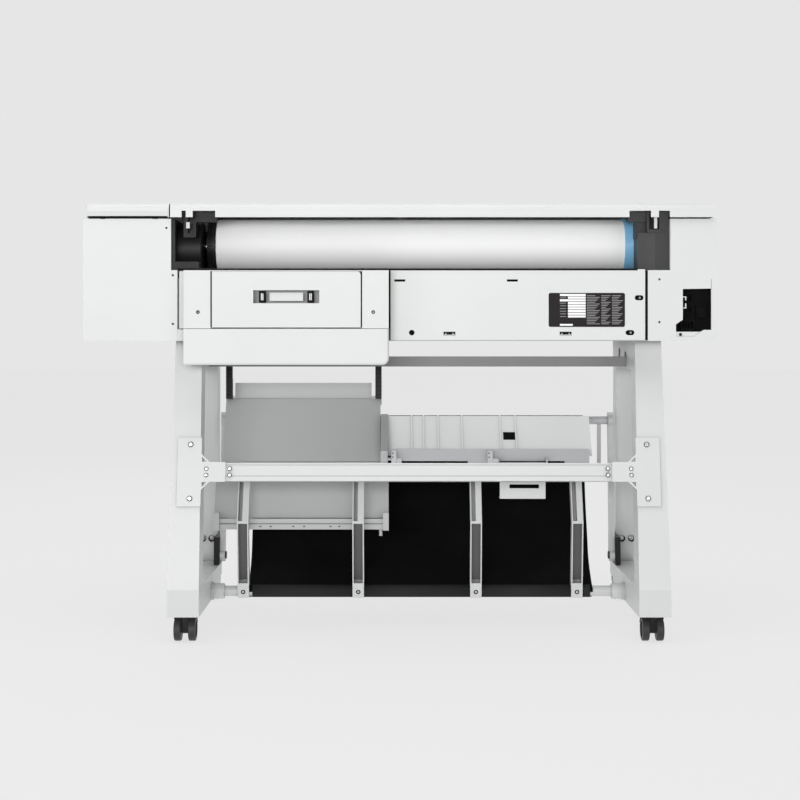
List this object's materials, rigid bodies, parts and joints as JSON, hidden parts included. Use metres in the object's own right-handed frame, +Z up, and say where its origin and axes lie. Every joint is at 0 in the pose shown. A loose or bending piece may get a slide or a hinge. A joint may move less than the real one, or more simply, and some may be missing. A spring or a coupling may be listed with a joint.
{
  "type": "large format plotter",
  "caption": "Roll-fed 36 inch plotter: long white body with a rear roll bay on a wheeled A-frame stand with a cloth paper bin.",
  "frame": {"origin": "on the floor, under the middle of the whole object's box", "axes": "+X is the long way, towards the left end as seen from behind; +Y is the rear, where the roll is loaded; +Z is up"},
  "size_m": [1.379, 0.61, 0.952],
  "materials": {
    "white_plastic": "fine moulded texture, off-white",
    "white_steel": "satin powder coat on folded sheet steel, off-white",
    "pale_plastic": "fine moulded texture, pale grey-white",
    "grey_sheet": "satin painted sheet, mid grey",
    "grey_channel": "satin painted tube and channel, mid grey",
    "arm_paint": "satin painted bar, light grey",
    "black_plastic": "moulded black, low gloss",
    "dark_plastic": "moulded charcoal, low gloss",
    "latch_plastic": "moulded black with a light finger dish",
    "blue_plastic": "moulded blue, semi gloss",
    "paper": "white coated paper, wound",
    "bright_steel": "zinc plated",
    "aluminium": "drawn, bare",
    "roller_rubber": "ground rubber",
    "wheel_rubber": "moulded tread",
    "bin_cloth": "plain black woven polyester",
    "smoked_window": "smoked clear plastic, polished",
    "board_green": "solder mask and components",
    "cartridge_plastic": "moulded"
  },
  "bodies": {
    "frame": {"left_end_cover": "white_plastic", "right_end_cover": "white_plastic", "rear_panel": "white_plastic", "left_top_cover": "white_plastic", "top_frame": "white_plastic", "front_fascia": "white_plastic", "access_housing": "white_plastic", "access_lower_cover": "white_plastic", "leg_left": "white_steel", "leg_right": "white_steel", "foot_beams": "white_steel", "cross_brace": "white_steel", "upper_beam": "white_steel", "output_tray": "pale_plastic", "stacker_ramp": "grey_sheet", "chassis": "grey_sheet", "ramp_rail": "grey_sheet", "bin_struts": "grey_channel", "tray_rail": "grey_channel", "bin_lower_tube": "grey_channel", "arm_brackets": "black_plastic", "ramp_racks": "black_plastic", "bay_liner": "black_plastic", "drive_cradle": "black_plastic", "power_inlet": "black_plastic", "platen": "black_plastic", "idle_cradle": "dark_plastic", "stand_screws": "bright_steel", "carriage_beam": "aluminium", "carriage_belt": "roller_rubber", "bin_fabric": "bin_cloth", "electronics": "board_green", "ink_cartridges": "cartridge_plastic"},
    "roll_cover": {"roll_cover": "white_plastic"},
    "front_window": {"front_window": "smoked_window"},
    "ink_door": {"ink_door": "white_plastic"},
    "control_panel": {"control_panel": "dark_plastic"},
    "access_door": {"access_door": "white_plastic"},
    "access_latch_left": {"access_latch_left": "latch_plastic"},
    "access_latch_right": {"access_latch_right": "latch_plastic"},
    "power_switch": {"power_switch": "black_plastic"},
    "spindle": {"spindle_shaft": "bright_steel", "drive_flange": "black_plastic", "loose_flange": "blue_plastic", "media_roll": "paper"},
    "spindle_pinion": {"spindle_pinion": "black_plastic"},
    "carriage": {"carriage": "black_plastic"},
    "motor_pulley": {"motor_pulley": "aluminium"},
    "idler_pulley": {"idler_pulley": "aluminium"},
    "feed_roller": {"feed_roller": "roller_rubber"},
    "bin_arms": {"bin_arms": "arm_paint"},
    "tray_latch": {"tray_latch": "white_steel"},
    "caster_swivel_rear_left": {"caster_fork_rear_left": "black_plastic"},
    "caster_wheels_rear_left": {"caster_wheels_rear_left": "wheel_rubber"},
    "caster_swivel_front_left": {"caster_fork_front_left": "black_plastic"},
    "caster_wheels_front_left": {"caster_wheels_front_left": "wheel_rubber"},
    "caster_swivel_rear_right": {"caster_fork_rear_right": "black_plastic"},
    "caster_wheels_rear_right": {"caster_wheels_rear_right": "wheel_rubber"},
    "caster_swivel_front_right": {"caster_fork_front_right": "black_plastic"},
    "caster_wheels_front_right": {"caster_wheels_front_right": "wheel_rubber"}
  },
  "joints": [
    {"name": "roll_cover_hinge", "type": "hinge", "parent": "frame", "child": "roll_cover", "pos_m": [0.0005, -0.025, 0.945], "axis": [1, 0, 0], "range_deg": [0, 70]},
    {"name": "front_window_hinge", "type": "hinge", "parent": "frame", "child": "front_window", "pos_m": [0.0005, -0.061, 0.946], "axis": [-1, 0, 0], "range_deg": [0, 65]},
    {"name": "ink_door_hinge", "type": "hinge", "parent": "frame", "child": "ink_door", "pos_m": [0.0005, -0.1945, 0.689], "axis": [1, 0, 0], "range_deg": [0, 90]},
    {"name": "control_panel_tilt", "type": "hinge", "parent": "frame", "child": "control_panel", "pos_m": [0.5925, -0.2055, 0.852], "axis": [1, 0, 0], "range_deg": [0, 45]},
    {"name": "access_door_hinge", "type": "hinge", "parent": "frame", "child": "access_door", "pos_m": [0.0005, 0.3, 0.692], "axis": [-1, 0, 0], "range_deg": [0, 85]},
    {"name": "access_latch_left_slide", "type": "slide", "parent": "access_door", "child": "access_latch_left", "axis": [-1, 0, 0], "range_m": [0, 0.006], "stiffness_N_per_m": 300},
    {"name": "access_latch_right_slide", "type": "slide", "parent": "access_door", "child": "access_latch_right", "axis": [1, 0, 0], "range_m": [0, 0.006], "stiffness_N_per_m": 300},
    {"name": "power_switch_rock", "type": "hinge", "parent": "frame", "child": "power_switch", "pos_m": [-0.6615, 0.235, 0.716], "axis": [-1, 0, 0], "range_deg": [0, 10]},
    {"name": "spindle_spin", "type": "hinge", "parent": "frame", "child": "spindle", "pos_m": [0.0005, 0.12, 0.868], "axis": [1, 0, 0], "continuous": true},
    {"name": "spindle_pinion_spin", "type": "hinge", "parent": "frame", "child": "spindle_pinion", "pos_m": [0.4255, 0.06605, 0.81405], "axis": [1, 0, 0], "continuous": true},
    {"name": "carriage_slide", "type": "slide", "parent": "frame", "child": "carriage", "axis": [-1, 0, 0], "range_m": [0, 0.86]},
    {"name": "motor_pulley_spin", "type": "hinge", "parent": "frame", "child": "motor_pulley", "pos_m": [0.4625, -0.043, 0.88], "axis": [0, 1, 0], "range_deg": [-10, 4500]},
    {"name": "idler_pulley_spin", "type": "hinge", "parent": "frame", "child": "idler_pulley", "pos_m": [-0.5155, -0.043, 0.88], "axis": [0, 1, 0], "range_deg": [-10, 4500]},
    {"name": "feed_roller_spin", "type": "hinge", "parent": "frame", "child": "feed_roller", "pos_m": [0.0005, -0.023, 0.772], "axis": [1, 0, 0], "continuous": true},
    {"name": "bin_arms_swing", "type": "hinge", "parent": "frame", "child": "bin_arms", "pos_m": [0.0005, -0.065, 0.14], "axis": [1, 0, 0], "range_deg": [0, 25]},
    {"name": "tray_latch_pull", "type": "hinge", "parent": "frame", "child": "tray_latch", "pos_m": [-0.2815, 0.0795, 0.369], "axis": [1, 0, 0], "range_deg": [0, 25]},
    {"name": "caster_swivel_rear_left_turn", "type": "hinge", "parent": "frame", "child": "caster_swivel_rear_left", "pos_m": [0.4675, 0.246, 0.057], "axis": [0, 0, 1], "continuous": true},
    {"name": "caster_wheels_rear_left_spin", "type": "hinge", "parent": "caster_swivel_rear_left", "child": "caster_wheels_rear_left", "pos_m": [0.4675, 0.26, 0.025], "axis": [1, 0, 0], "continuous": true},
    {"name": "caster_swivel_front_left_turn", "type": "hinge", "parent": "frame", "child": "caster_swivel_front_left", "pos_m": [0.4675, -0.282, 0.057], "axis": [0, 0, 1], "continuous": true},
    {"name": "caster_wheels_front_left_spin", "type": "hinge", "parent": "caster_swivel_front_left", "child": "caster_wheels_front_left", "pos_m": [0.4675, -0.268, 0.025], "axis": [1, 0, 0], "continuous": true},
    {"name": "caster_swivel_rear_right_turn", "type": "hinge", "parent": "frame", "child": "caster_swivel_rear_right", "pos_m": [-0.5495, 0.246, 0.057], "axis": [0, 0, 1], "continuous": true},
    {"name": "caster_wheels_rear_right_spin", "type": "hinge", "parent": "caster_swivel_rear_right", "child": "caster_wheels_rear_right", "pos_m": [-0.5495, 0.26, 0.025], "axis": [1, 0, 0], "continuous": true},
    {"name": "caster_swivel_front_right_turn", "type": "hinge", "parent": "frame", "child": "caster_swivel_front_right", "pos_m": [-0.5495, -0.282, 0.057], "axis": [0, 0, 1], "continuous": true},
    {"name": "caster_wheels_front_right_spin", "type": "hinge", "parent": "caster_swivel_front_right", "child": "caster_wheels_front_right", "pos_m": [-0.5495, -0.268, 0.025], "axis": [1, 0, 0], "continuous": true}
  ],
  "couplings": [
    {"joint": "spindle_pinion_spin", "follows": "spindle_spin", "ratio": -3.75},
    {"joint": "motor_pulley_spin", "follows": "carriage_slide", "rad_per_m": 90.909},
    {"joint": "idler_pulley_spin", "follows": "carriage_slide", "rad_per_m": 90.909}
  ]
}
